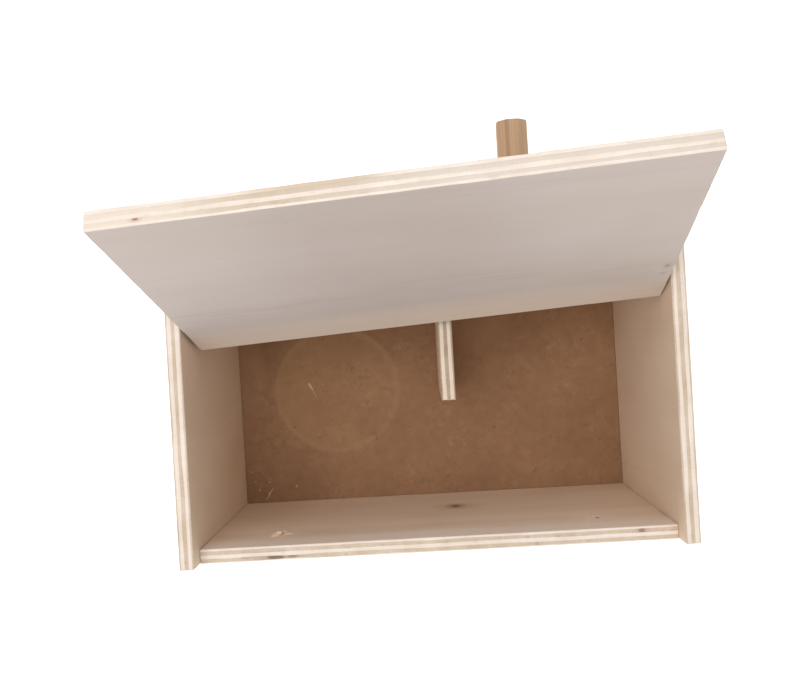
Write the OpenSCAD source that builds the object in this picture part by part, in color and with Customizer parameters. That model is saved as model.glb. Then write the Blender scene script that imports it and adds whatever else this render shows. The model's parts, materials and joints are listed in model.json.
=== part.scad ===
// Plywood nest box with a lid that turns on two nails, an inner partition and a perch.
// The origin is the centre of the underside, +Z is up and the entrance faces -Y.
// Left and right are as seen from in front of the entrance, so the right wall is at +X.
// Each joint is held by nails in holes with a little clearance, with their heads flush.

/* [Box] */
// Length between the side walls
inner_length = 250; // [235:1:300]
// Depth over the outer faces of the front and back walls
box_depth = 160; // [150:1:200]
// Height of the side walls and the front wall
box_height = 153; // [148:1:200]
// Thickness of the wall plywood
wall_t = 7.5; // [6:0.5:9]
// Thickness of the floor board
floor_t = 7; // [6.5:0.5:10]
// How far the back wall's top edge is below the rim
back_drop = 13; // [11:0.5:18]

/* [Floor hollow] */
// Diameter of the hollow for the eggs
hollow_d = 84; // [60:1:100]
// Depth of the hollow
hollow_depth = 3; // [1.5:0.1:4]
// Distance of the hollow's centre from the right wall
hollow_from_right = 64.5; // [55:0.5:75]
// Distance of the hollow's centre from the back wall's outer face
hollow_from_back = 80; // [62:0.5:95]

/* [Partition] */
// Distance of the partition's face from the right wall
partition_from_right = 132; // [110:0.5:140]
// Length of the partition from the front wall
partition_length = 75.5; // [50:0.5:100]
// How far the partition's top edge is below the rim
partition_drop = 33; // [32:0.5:60]

/* [Entrance and perch] */
// Diameter of the entrance hole
entrance_d = 42; // [35:1:50]
// Distance of the entrance hole's centre below the rim
entrance_drop = 49; // [42:0.5:55]
// Distance of the entrance and the perch from the left wall
entrance_from_left = 66.5; // [50:0.5:80]
// Width of the eight-sided perch across its flats
perch_w = 18; // [12:0.5:20]
// Length of the perch in front of the box
perch_length = 77; // [50:1:100]
// Distance of the perch's top below the entrance hole
perch_gap = 6; // [3:0.5:12]

/* [Lid] */
// Thickness of the lid plywood
lid_t = 9; // [7:0.5:10]
// Gap between the lid and each side wall
lid_side_gap = 1.5; // [1.5:0.1:3]
// Gap between the closed lid's tail and the front wall
lid_tail_gap = 4; // [3.5:0.5:8]
// Reach of the closed lid past the back wall's outer face
lid_overhang = 3; // [0:0.5:8]
// Gap between the closed lid and the back wall's top edge
lid_rest_gap = 0.3; // [0.2:0.1:1]
// Angle of the open lid from its closed place
lid_open = 109; // [60:1:125]
// Distance of the right pivot nail from the lid's tail edge
right_pivot_setback = 24.5; // [20:0.5:26]
// Distance of the left pivot nail from the lid's tail edge
left_pivot_setback = 13.5; // [12:0.5:26]

/* [Pivot nails] */
// Diameter of a pivot nail's shank
pivot_d = 2.2; // [1.6:0.1:3]
// Length of a pivot nail below its head
pivot_length = 25; // [18:1:30]
// Diameter of a pivot nail's head
pivot_head_d = 5; // [4:0.1:6]
// Thickness of a pivot nail's head
pivot_head_t = 1.2; // [0.8:0.1:1.8]
// Radial clearance of a pivot nail in its holes
pivot_clear = 0.05; // [0.02:0.01:0.1]

/* [Nails] */
// Diameter of a nail's shank
nail_d = 1.6; // [1.2:0.1:2]
// Length of a nail below its head
nail_length = 22; // [15:1:28]
// Diameter of a nail's head
nail_head_d = 3.4; // [2.6:0.1:4]
// Thickness of a nail's head
nail_head_t = 0.8; // [0.5:0.1:1.2]
// Radial clearance of a nail in its hole
nail_clear = 0.05; // [0.02:0.01:0.1]
// Distance of the outer nails from an edge of their wall
nail_edge = 22; // [15:1:30]
// Number of nails along each upright joint
upright_nails = 3; // [2:1:4]
// Number of nails along each side of the floor board
floor_nails = 3; // [2:1:4]
// Number of nails in each edge of the partition
partition_nails = 2; // [1:1:3]

/* [Screws] */
// Diameter of a screw's shank
screw_d = 3; // [2.5:0.1:4]
// Diameter of a screw's head
screw_head_d = 6.5; // [5:0.1:8]
// Height of a screw's domed head
screw_head_h = 2; // [1.5:0.1:2.5]
// Length of the perch screw below its head
perch_screw_length = 28; // [20:1:35]
// Radial clearance of a screw in its hole
screw_clear = 0.1; // [0.05:0.01:0.3]

/* [Hangers] */
// Distance between the two hangers
hanger_spacing = 174; // [120:1:200]
// Distance of the hanger screws below the back wall's top edge
hanger_drop = 29.5; // [27:0.5:60]
// Width of a hanger plate
hanger_w = 14; // [11:0.5:18]
// Thickness of a hanger plate
hanger_t = 1.5; // [1:0.1:2]
// Distance from the screw hole to the hanging hole
hanger_pitch = 15; // [12:0.5:20]
// Diameter of the hanging hole
hanging_d = 5; // [4:0.1:6]
// How far a hanger screw's point comes through the back wall
hanger_point = 0.6; // [0.2:0.1:1.5]

/* [Hidden] */
$fn = 64;
cut = 1;
point_d = 0.4;
point_share = 2;
half_in = inner_length / 2;
half_out = half_in + wall_t;
half_depth = box_depth / 2;
inner_depth = box_depth - 2 * wall_t;
inner_y = inner_depth / 2;
back_top = box_height - back_drop;
lid_width = inner_length - 2 * lid_side_gap;
lid_tail_y = lid_tail_gap - inner_y;
lid_length = half_depth + lid_overhang - lid_tail_y;
lid_z = back_top + lid_rest_gap;
pivot_z = lid_z + lid_t / 2;
right_pivot_y = lid_tail_y + right_pivot_setback;
left_pivot_y = lid_tail_y + left_pivot_setback;
pivot_mid_y = (right_pivot_y + left_pivot_y) / 2;
pivot_skew = atan2(right_pivot_y - left_pivot_y, inner_length);
partition_x = half_in - partition_from_right - wall_t / 2;
partition_y = partition_length / 2 - inner_y;
partition_top = box_height - partition_drop;
entrance_x = entrance_from_left - half_in;
entrance_z = box_height - entrance_drop;
perch_z = entrance_z - entrance_d / 2 - perch_gap - perch_w / 2;
hollow_x = half_in - hollow_from_right;
hollow_y = half_depth - hollow_from_back;
hollow_r = (pow(hollow_d / 2, 2) + pow(hollow_depth, 2)) / (2 * hollow_depth);
hanger_z = back_top - hanger_drop;
hanger_length = hanger_t + wall_t + hanger_point;
joint_y = half_depth - wall_t / 2;
joint_z = floor_t / 2;

// Even steps from one end to the other, or the middle for a single step
function steps(low, high, count) =
    count == 1 ? [(low + high) / 2]
    : [for (i = [0:count - 1]) low + (high - low) * i / (count - 1)];

// A nail with its head's top at the origin, driven along +Z, widened all round by a gap
module nail_body(shank_d, length, head_d, head_t, gap = 0) {
    point = point_share * shank_d;
    cylinder(d = head_d + 2 * gap, h = head_t);
    cylinder(d = shank_d + 2 * gap, h = head_t + length - point);
    translate([0, 0, head_t + length - point])
        cylinder(d1 = shank_d + 2 * gap, d2 = point_d + 2 * gap, h = point + gap);
}

// A joint nail, or its hole when a gap is given, driven along +Z from the wall's outer face
module nail(gap = 0) {
    nail_body(nail_d, nail_length, nail_head_d, nail_head_t, gap);
}

// A pivot nail, or its hole when a gap is given
module pivot_nail(gap = 0) {
    nail_body(pivot_d, pivot_length, pivot_head_d, pivot_head_t, gap);
}

// A screw with its head's underside at the origin, driven along +Z
module screw(length, gap = 0) {
    point = point_share * screw_d;
    root = screw_head_h / 2;
    translate([0, 0, -root]) cylinder(d = screw_d + 2 * gap, h = root + length - point);
    translate([0, 0, length - point])
        cylinder(d1 = screw_d + 2 * gap, d2 = point_d + 2 * gap, h = point + gap);
    if (gap == 0) screw_head();
}

// The domed head of a screw, on the -Z side of the origin
module screw_head() {
    dome_r = (pow(screw_head_d / 2, 2) + pow(screw_head_h, 2)) / (2 * screw_head_h);
    difference() {
        translate([0, 0, dome_r - screw_head_h]) sphere(r = dome_r);
        translate([0, 0, dome_r]) cube(2 * dome_r, center = true);
    }
}

// Children along +Z from a side wall's outer face towards the inside; side is 1 on the right
module from_side(side, y, z) {
    translate([side * half_out, y, z]) rotate([0, -90 * side, 0]) children();
}

// Children along +Z from the front face (side -1) or the back face (side 1) towards the inside
module from_end(side, x, z) {
    translate([x, side * half_depth, z]) rotate([90 * side, 0, 0]) children();
}

// Children along +Z from a side wall's outer face, on the slightly skewed pivot axis
module on_pivot(side) {
    translate([side * half_out, pivot_mid_y + side * half_out * tan(pivot_skew), pivot_z])
        rotate([0, 0, pivot_skew])
            rotate([0, -90 * side, 0]) children();
}

// Joint nails of a side wall into the edge of the front wall
module front_joint(side, gap = 0) {
    for (z = steps(nail_edge, box_height - nail_edge, upright_nails))
        from_side(side, -joint_y, z) nail(gap);
}

// Joint nails of a side wall into the edge of the back wall
module back_joint(side, gap = 0) {
    for (z = steps(nail_edge, back_top - nail_edge, upright_nails))
        from_side(side, joint_y, z) nail(gap);
}

// Joint nails of a side wall into the edge of the floor board
module floor_joint(side, gap = 0) {
    for (y = steps(nail_edge - inner_y, inner_y - nail_edge, floor_nails))
        from_side(side, y, joint_z) nail(gap);
}

// Joint nails of the front or back wall into the edge of the floor board
module floor_end_joint(side, gap = 0) {
    for (x = steps(2 * nail_edge - half_in, half_in - 2 * nail_edge, floor_nails))
        from_end(side, x, joint_z) nail(gap);
}

// Joint nails of the front wall into the edge of the partition
module partition_front_joint(gap = 0) {
    for (z = steps(floor_t + nail_edge, partition_top - nail_edge, partition_nails))
        from_end(-1, partition_x, z) nail(gap);
}

// Joint nails of the floor board into the foot of the partition
module partition_floor_joint(gap = 0) {
    ends = partition_length / 2 - nail_edge;
    for (y = steps(partition_y - ends, partition_y + ends, partition_nails))
        translate([partition_x, y, 0]) nail(gap);
}

// Children at each hanger screw on the back wall's outer face, along +Z into the wall
module at_hangers() {
    for (side = [-1, 1])
        from_end(1, side * hanger_spacing / 2, hanger_z) children();
}

module floor_board() {
    color("sienna") difference() {
        translate([-half_in, -inner_y, 0]) cube([inner_length, inner_depth, floor_t]);
        translate([hollow_x, hollow_y, floor_t - hollow_depth + hollow_r]) sphere(r = hollow_r, $fn = 128);
        for (side = [-1, 1]) {
            floor_joint(side, nail_clear);
            floor_end_joint(side, nail_clear);
        }
        partition_floor_joint(nail_clear);
    }
}

module side_wall(side) {
    color("bisque") difference() {
        translate([side > 0 ? half_in : -half_out, -half_depth, 0])
            cube([wall_t, box_depth, box_height]);
        front_joint(side, nail_clear);
        back_joint(side, nail_clear);
        floor_joint(side, nail_clear);
        on_pivot(side) pivot_nail(pivot_clear);
    }
}

module left_wall() {
    side_wall(-1);
}

module right_wall() {
    side_wall(1);
}

module back_wall() {
    color("bisque") difference() {
        translate([-half_in, inner_y, 0]) cube([inner_length, wall_t, back_top]);
        for (side = [-1, 1]) back_joint(side, nail_clear);
        floor_end_joint(1, nail_clear);
        at_hangers() translate([0, 0, -cut]) cylinder(d = screw_d + 2 * screw_clear, h = wall_t + 2 * cut);
    }
}

module front_wall() {
    color("bisque") difference() {
        translate([-half_in, -half_depth, 0]) cube([inner_length, wall_t, box_height]);
        for (side = [-1, 1]) front_joint(side, nail_clear);
        floor_end_joint(-1, nail_clear);
        partition_front_joint(nail_clear);
        from_end(-1, entrance_x, entrance_z)
            translate([0, 0, -cut]) cylinder(d = entrance_d, h = wall_t + 2 * cut, $fn = 128);
        from_end(-1, entrance_x, perch_z)
            translate([0, 0, -cut]) cylinder(d = screw_d + 2 * screw_clear, h = wall_t + 2 * cut);
    }
}

module partition() {
    color("bisque") difference() {
        translate([partition_x - wall_t / 2, -inner_y, floor_t])
            cube([wall_t, partition_length, partition_top - floor_t]);
        partition_front_joint(nail_clear);
        partition_floor_joint(nail_clear);
    }
}

module perch() {
    flat_turn = 22.5;
    color("burlywood") difference() {
        translate([entrance_x, -half_depth, perch_z])
            rotate([90, flat_turn, 0])
                cylinder(d = perch_w / cos(flat_turn), h = perch_length, $fn = 8);
        at_perch_screw() screw(perch_screw_length, screw_clear);
    }
}

// Children at the perch screw's head on the front wall's inner face, along +Z out of the box
module at_perch_screw() {
    translate([entrance_x, -inner_y, perch_z]) rotate([90, 0, 0]) children();
}

module perch_screw() {
    color("silver") at_perch_screw() screw(perch_screw_length);
}

// Children turned from the lid's closed place to its open one, about the pivot axis
module opened() {
    translate([0, pivot_mid_y, pivot_z])
        rotate(a = lid_open, v = [cos(pivot_skew), sin(pivot_skew), 0])
            translate([0, -pivot_mid_y, -pivot_z]) children();
}

module lid() {
    color("bisque") opened() difference() {
        translate([-lid_width / 2, lid_tail_y, lid_z]) cube([lid_width, lid_length, lid_t]);
        for (side = [-1, 1]) on_pivot(side) pivot_nail(pivot_clear);
    }
}

module left_pivot_nail() {
    color("silver") on_pivot(-1) pivot_nail();
}

module right_pivot_nail() {
    color("silver") on_pivot(1) pivot_nail();
}

module left_front_nails() {
    color("silver") front_joint(-1);
}

module left_back_nails() {
    color("silver") back_joint(-1);
}

module left_floor_nails() {
    color("silver") floor_joint(-1);
}

module right_front_nails() {
    color("silver") front_joint(1);
}

module right_back_nails() {
    color("silver") back_joint(1);
}

module right_floor_nails() {
    color("silver") floor_joint(1);
}

module front_floor_nails() {
    color("silver") floor_end_joint(-1);
}

module back_floor_nails() {
    color("silver") floor_end_joint(1);
}

module partition_front_nails() {
    color("silver") partition_front_joint();
}

module partition_floor_nails() {
    color("silver") partition_floor_joint();
}

// A flat plate with round ends, its screw hole at the origin and its hanging hole above
module hanger_plate() {
    difference() {
        union() {
            cylinder(d = hanger_w, h = hanger_t);
            translate([-hanger_w / 2, 0, 0]) cube([hanger_w, hanger_pitch, hanger_t]);
            translate([0, hanger_pitch, 0]) cylinder(d = hanger_w, h = hanger_t);
        }
        translate([0, 0, -cut]) cylinder(d = screw_d + 2 * screw_clear, h = hanger_t + 2 * cut);
        translate([0, hanger_pitch, -cut]) cylinder(d = hanging_d, h = hanger_t + 2 * cut);
    }
}

module hanger_plates() {
    color("silver") at_hangers() mirror([0, 0, 1]) hanger_plate();
}

module hanger_screws() {
    color("silver") at_hangers() translate([0, 0, -hanger_t]) screw(hanger_length);
}

floor_board();
left_wall();
right_wall();
back_wall();
front_wall();
partition();
perch();
perch_screw();
lid();
left_pivot_nail();
right_pivot_nail();
left_front_nails();
left_back_nails();
left_floor_nails();
right_front_nails();
right_back_nails();
right_floor_nails();
front_floor_nails();
back_floor_nails();
partition_front_nails();
partition_floor_nails();
hanger_plates();
hanger_screws();
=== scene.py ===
"""Dresses a plywood nest box: boards with real plies, fibreboard floor, perch, nails, screws and hangers.

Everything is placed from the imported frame. In a board's own system u runs along its length, v across its
width and w through its thickness. Lengths are in metres, apart from those of marks and leavings, which are
in millimetres.
"""

from __future__ import annotations

import json
import logging
import math
from dataclasses import dataclass, field, replace
from enum import Enum
from typing import Callable, Sequence

import bpy
import numpy as np
from mathutils import Euler, Matrix, Vector
from mathutils.geometry import delaunay_2d_cdt

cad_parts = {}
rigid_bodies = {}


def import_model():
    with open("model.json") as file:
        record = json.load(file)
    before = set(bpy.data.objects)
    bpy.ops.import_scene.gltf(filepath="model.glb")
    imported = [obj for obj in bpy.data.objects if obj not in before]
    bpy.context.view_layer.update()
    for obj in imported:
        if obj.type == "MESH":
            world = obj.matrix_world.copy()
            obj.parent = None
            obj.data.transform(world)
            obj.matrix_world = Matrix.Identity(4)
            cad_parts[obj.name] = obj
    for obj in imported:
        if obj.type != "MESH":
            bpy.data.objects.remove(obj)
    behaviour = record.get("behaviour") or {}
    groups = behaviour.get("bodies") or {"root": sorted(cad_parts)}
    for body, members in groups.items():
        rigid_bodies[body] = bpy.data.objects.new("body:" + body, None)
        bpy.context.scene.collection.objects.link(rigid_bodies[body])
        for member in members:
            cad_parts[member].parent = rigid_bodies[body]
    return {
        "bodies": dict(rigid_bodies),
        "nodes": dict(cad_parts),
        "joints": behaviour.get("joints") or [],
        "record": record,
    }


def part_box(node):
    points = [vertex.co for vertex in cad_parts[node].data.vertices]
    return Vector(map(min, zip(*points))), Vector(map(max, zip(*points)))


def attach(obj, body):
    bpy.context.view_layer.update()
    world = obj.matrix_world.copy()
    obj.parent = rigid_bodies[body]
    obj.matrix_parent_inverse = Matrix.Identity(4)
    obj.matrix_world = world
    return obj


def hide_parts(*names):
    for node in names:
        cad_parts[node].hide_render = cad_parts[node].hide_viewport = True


LOG = logging.getLogger("nest_box")
MM = 0.001
BOX_BODY = "box"
LID_BODY = "lid"
HINGE = "lid_hinge"
FIBRE = "fibre"
SPOT = "spot"
PLY_SHIFT = 3.0  # how far apart two plies may read their grain
BROAD = 400.0  # reach in millimetres of a mark that has no bound along an axis
HALO = (2.6, 0.8)  # where a mark's halo starts and is full, in shares of its reach
CORE = (1.1, 0.45)  # the same for its core
FACE_WEAR = 0.5 * MM  # how deep from a face a sawn edge is worn
SAME_POINT = 0.001 * MM  # points nearer than this count as one
TOUCH = 0.005 * MM  # a gap smaller than this counts as none

Triple = tuple[float, float, float]
Colour = Triple
Point = tuple[float, float]
Blade = tuple[Triple, Triple, float]  # a splinter's start, end and width
FibreOf = Callable[[Sequence[float]], tuple]


def srgb(red: float, green: float, blue: float) -> Colour:
    """Turns a colour in 0 to 255 steps into a linear one."""
    shares = (value / 255 for value in (red, green, blue))
    return tuple(s / 12.92 if s <= 0.04045 else ((s + 0.055) / 1.055) ** 2.4 for s in shares)


# Shader maths ---------------------------------------------------------------------------------------------


@dataclass(frozen=True)
class Wire:
    """A value that runs between shader nodes and adds Math nodes when it is used in an expression."""

    shader: "Shader"
    socket: bpy.types.NodeSocket

    def _math(self, operation: str, *inputs: "Wire | float") -> "Wire":
        """Adds a Math node of one operation on these inputs."""
        return self.shader.node("ShaderNodeMath", {"operation": operation}, dict(enumerate(inputs)))

    def __add__(self, other: "Wire | float") -> "Wire":
        """Adds two values."""
        return self._math("ADD", self, other)

    def __radd__(self, other: "Wire | float") -> "Wire":
        """Adds a number and this value."""
        return self._math("ADD", other, self)

    def __sub__(self, other: "Wire | float") -> "Wire":
        """Takes a value from this one."""
        return self._math("SUBTRACT", self, other)

    def __rsub__(self, other: "Wire | float") -> "Wire":
        """Takes this value from a number."""
        return self._math("SUBTRACT", other, self)

    def __mul__(self, other: "Wire | float") -> "Wire":
        """Multiplies two values."""
        return self._math("MULTIPLY", self, other)

    def __rmul__(self, other: "Wire | float") -> "Wire":
        """Multiplies a number by this value."""
        return self._math("MULTIPLY", other, self)

    def __truediv__(self, other: "Wire | float") -> "Wire":
        """Divides this value by another."""
        return self._math("DIVIDE", self, other)

    def __rtruediv__(self, other: "Wire | float") -> "Wire":
        """Divides a number by this value."""
        return self._math("DIVIDE", other, self)

    def size(self) -> "Wire":
        """This value without its sign."""
        return self._math("ABSOLUTE", self)

    def wave(self) -> "Wire":
        """The sine of this value."""
        return self._math("SINE", self)

    def between(self, low: float, high: float) -> "Wire":
        """A soft step from 0 at low to 1 at high, or from 1 to 0 where low is the larger.

        Args:
            low: Where the step starts.
            high: Where the step ends.

        Returns:
            A value from 0 to 1.
        """
        if low > high:
            return 1 - self.between(high, low)
        settings = {"interpolation_type": "SMOOTHSTEP"}
        return self.shader.node("ShaderNodeMapRange", settings, {"Value": self, 1: low, 2: high})


class Shader:
    """Builds one material's nodes."""

    def __init__(self, name: str) -> None:
        """Makes a material with a Principled shader.

        Args:
            name: The material's name.
        """
        self.material = bpy.data.materials.new(name)
        self.material.use_nodes = True
        self.tree = self.material.node_tree
        self.main = self.tree.nodes["Principled BSDF"]

    def _plug(self, node: bpy.types.Node, key: int | str, value: object) -> None:
        """Links a wire to a node's socket, or sets the socket's value.

        Args:
            node: The node.
            key: The socket's name or number.
            value: A wire, a number, a vector or a colour.
        """
        socket = node.inputs[key]
        if isinstance(value, Wire):
            self.tree.links.new(value.socket, socket)
        elif isinstance(value, tuple) and len(value) == 3 and socket.type == "RGBA":
            socket.default_value = (*value, 1.0)
        else:
            socket.default_value = value

    def node(self, kind: str, settings: dict, inputs: dict, output: int | str = 0) -> Wire:
        """Adds any node.

        Args:
            kind: The node's type.
            settings: Properties that are set first.
            inputs: Values or wires for its sockets, by name or number.
            output: Which of its outputs is returned.

        Returns:
            The chosen output.
        """
        made = self.tree.nodes.new(kind)
        for key, value in settings.items():
            setattr(made, key, value)
        for key, value in inputs.items():
            self._plug(made, key, value)
        return Wire(self, made.outputs[output])

    def attribute(self, name: str) -> Wire:
        """The vector that a mesh holds under a name."""
        return self.node("ShaderNodeAttribute", {"attribute_name": name}, {}, "Vector")

    def scaled(self, vector: Wire, shares: Sequence[float]) -> Wire:
        """A vector times a vector."""
        return self.node("ShaderNodeVectorMath", {"operation": "MULTIPLY"}, {0: vector, 1: tuple(shares)})

    def moved(self, vector: Wire, step: Sequence[float] | Wire) -> Wire:
        """A vector plus a vector."""
        value = step if isinstance(step, Wire) else tuple(step)
        return self.node("ShaderNodeVectorMath", {"operation": "ADD"}, {0: vector, 1: value})

    def reach(self, vector: Wire) -> Wire:
        """A vector's length."""
        return self.node("ShaderNodeVectorMath", {"operation": "LENGTH"}, {0: vector}, "Value")

    def part(self, vector: Wire, axis: str) -> Wire:
        """One of a vector's three parts."""
        return self.node("ShaderNodeSeparateXYZ", {}, {0: vector}, axis)

    def noise(self, vector: Wire, scale: float, detail: float = 3.0, rough: float = 0.55) -> Wire:
        """Cloudy noise from 0 to 1, with more finer layers for more detail."""
        inputs = {"Vector": vector, "Scale": scale, "Detail": detail, "Roughness": rough}
        return self.node("ShaderNodeTexNoise", {}, inputs, "Fac")

    def swirl(self, vector: Wire, scale: float, amount: float) -> Wire:
        """A vector pushed about by noise.

        Args:
            vector: The vector.
            scale: Scale of the noise.
            amount: How far it is pushed.

        Returns:
            The moved vector.
        """
        colour = self.node("ShaderNodeTexNoise", {}, {"Vector": vector, "Scale": scale}, "Color")
        push = self.moved(colour, (-0.5, -0.5, -0.5))
        return self.moved(vector, self.scaled(push, (amount,) * 3))

    def cells(self, vector: Wire, scale: float) -> Wire:
        """Distances from the middles of a pattern of cells."""
        return self.node("ShaderNodeTexVoronoi", {}, {"Vector": vector, "Scale": scale}, "Distance")

    def mix(self, factor: Wire | float, first: Wire | Colour, second: Wire | Colour) -> Wire:
        """Mixes two colours; the factor is the second one's share."""
        return self.node("ShaderNodeMix", {"data_type": "RGBA"}, {0: factor, 6: first, 7: second}, 2)

    def finish(self, colour: Wire | Colour, rough: Wire | float, height: Wire | None = None,
               depth: float = 0.0, strength: float = 1.0, **fixed: float | Colour) -> bpy.types.Material:
        """Feeds the Principled shader.

        Args:
            colour: Base colour.
            rough: Roughness.
            height: Height for the bump, from 0 to 1.
            depth: Depth of the bump in metres.
            strength: Strength of the bump.
            **fixed: Values that are the same all over, by socket name with underscores for spaces.

        Returns:
            The finished material.
        """
        self._plug(self.main, "Base Color", colour)
        self._plug(self.main, "Roughness", rough)
        for key, value in fixed.items():
            self._plug(self.main, key.replace("_", " "), value)
        if height is not None:
            inputs = {"Strength": strength, "Distance": depth, "Height": height}
            self._plug(self.main, "Normal", self.node("ShaderNodeBump", {}, inputs, "Normal"))
        return self.material


# Finishes -------------------------------------------------------------------------------------------------


@dataclass(frozen=True)
class Mark:
    """A knot, a stain, a patch of another tone, or a patch of painted light and shade, in the board's own
    system and in millimetres.

    The core takes the depth's share of the colour, and the halo round it takes its own share.
    """

    place: Triple
    reach: Triple
    depth: float
    colour: Colour
    halo: float


def patch(place: Triple, reach: Triple, colour: Colour, halo: float) -> Mark:
    """A soft patch of another tone, or of painted light and shade, which is a mark with no core."""
    return Mark(place, reach, 0.0, colour, halo)


def with_marks(s: Shader, colour: Wire, marks: Sequence[Mark]) -> Wire:
    """Lays knots, stains and patches, among them painted light and shade, over a colour.

    Args:
        s: The shader that takes them.
        colour: The colour under them.
        marks: The marks.

    Returns:
        The colour with the marks.
    """
    spot = s.attribute(SPOT)
    for mark in marks:
        away = s.moved(spot, tuple(-value * MM for value in mark.place))
        away = s.swirl(s.scaled(away, tuple(1 / (value * MM) for value in mark.reach)), 1.2, 0.5)
        span = s.reach(away)
        rings = (span * 9.0).wave() * 0.12
        colour = s.mix(span.between(*HALO) * mark.halo, colour, mark.colour)
        colour = s.mix((span + rings).between(*CORE) * mark.depth, colour, mark.colour)
    return colour


@dataclass(frozen=True)
class VeneerFinish:
    """Raw light veneer, with long grain along the board's grain direction."""

    name: str
    pale: Colour
    deep: Colour
    stain: Colour
    line: Colour
    marks: tuple[Mark, ...] = ()
    stain_share: float = 0.45
    figure: float = 1.0
    seam_share: float = 0.12

    def material(self) -> bpy.types.Material:
        """Builds the veneer's material.

        Returns:
            The material.
        """
        s = Shader(self.name)
        fibre = s.attribute(FIBRE)
        soft = s.swirl(s.scaled(fibre, (1.0, 1.6, 1.6)), 8.0, 0.02)
        bands = s.noise(s.scaled(soft, (3, 40, 40)), 1.0, 2.0)
        streaks = s.noise(s.scaled(soft, (10, 300, 300)), 1.0, 4.0, 0.6)
        hairs = s.noise(s.scaled(fibre, (70, 2400, 2400)), 1.0, 2.0, 0.7)
        clouds = s.noise(s.scaled(fibre, (8, 15, 15)), 1.0, 2.0)
        tone = (bands * 0.55 + streaks * 0.26 + hairs * 0.19 - 0.5) * self.figure + 0.5
        colour = s.mix(tone.between(0.16, 0.92), self.pale, self.deep)
        colour = s.mix(clouds.between(0.4, 0.72) * self.stain_share, colour, self.stain)
        rings = s.noise(s.scaled(soft, (1.6, 17, 17)), 1.0, 1.0)
        seams = ((rings * 5.0).wave() - 0.35).size().between(0.34, 0.0)
        gaps = streaks.between(0.42, 0.66)
        colour = s.mix(seams * gaps * self.seam_share, colour, self.line)
        pores = s.noise(s.scaled(fibre, (330, 5200, 5200)), 1.0, 1.0)
        colour = s.mix(pores.between(0.66, 0.78) * 0.14, colour, self.line)
        flecks = s.cells(s.scaled(fibre, (0.35, 1, 1)), 60.0)
        colour = s.mix(flecks.between(0.05, 0.015) * 0.2, colour, self.line)
        colour = with_marks(s, colour, self.marks)
        height = streaks * 0.5 * self.figure + hairs * 0.35 - pores.between(0.6, 0.8) * 0.5
        return s.finish(colour, 0.62 + hairs * 0.2, height, 0.15 * MM, 0.5, IOR=1.45)


@dataclass(frozen=True)
class SawnFinish:
    """A ply seen on a sawn edge, either along its fibres or across their ends."""

    name: str
    pale: Colour
    deep: Colour
    speck: Colour
    across_ends: bool
    marks: tuple[Mark, ...] = ()

    def material(self) -> bpy.types.Material:
        """Builds the sawn edge's material.

        Returns:
            The material.
        """
        s = Shader(self.name)
        fibre = s.attribute(FIBRE)
        spot = s.attribute(SPOT)
        patches = s.noise(s.scaled(spot, (70, 70, 70)), 1.0, 3.0, 0.6)
        if self.across_ends:
            grit = s.noise(s.scaled(spot, (700, 700, 1900)), 1.0, 3.0, 0.7)
            saw = s.noise(s.scaled(spot, (1500, 1500, 120)), 1.0, 2.0)
        else:
            grit = s.noise(s.scaled(fibre, (45, 1500, 1500)), 1.0, 3.0, 0.65)
            saw = s.noise(s.scaled(spot, (1300, 1300, 160)), 1.0, 2.0)
        tone = patches * 0.45 + grit * 0.4 + saw * 0.15
        colour = s.mix(tone.between(0.34, 0.68), self.pale, self.deep)
        dirt = s.noise(s.scaled(spot, (190, 190, 420)), 1.0, 3.0, 0.6)
        colour = s.mix(dirt.between(0.58, 0.74) * 0.36, colour, self.speck)
        colour = with_marks(s, colour, self.marks)
        height = grit * 0.6 + saw * 0.4
        return s.finish(colour, 0.78, height, 0.3 * MM, 0.6, IOR=1.4)


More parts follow.
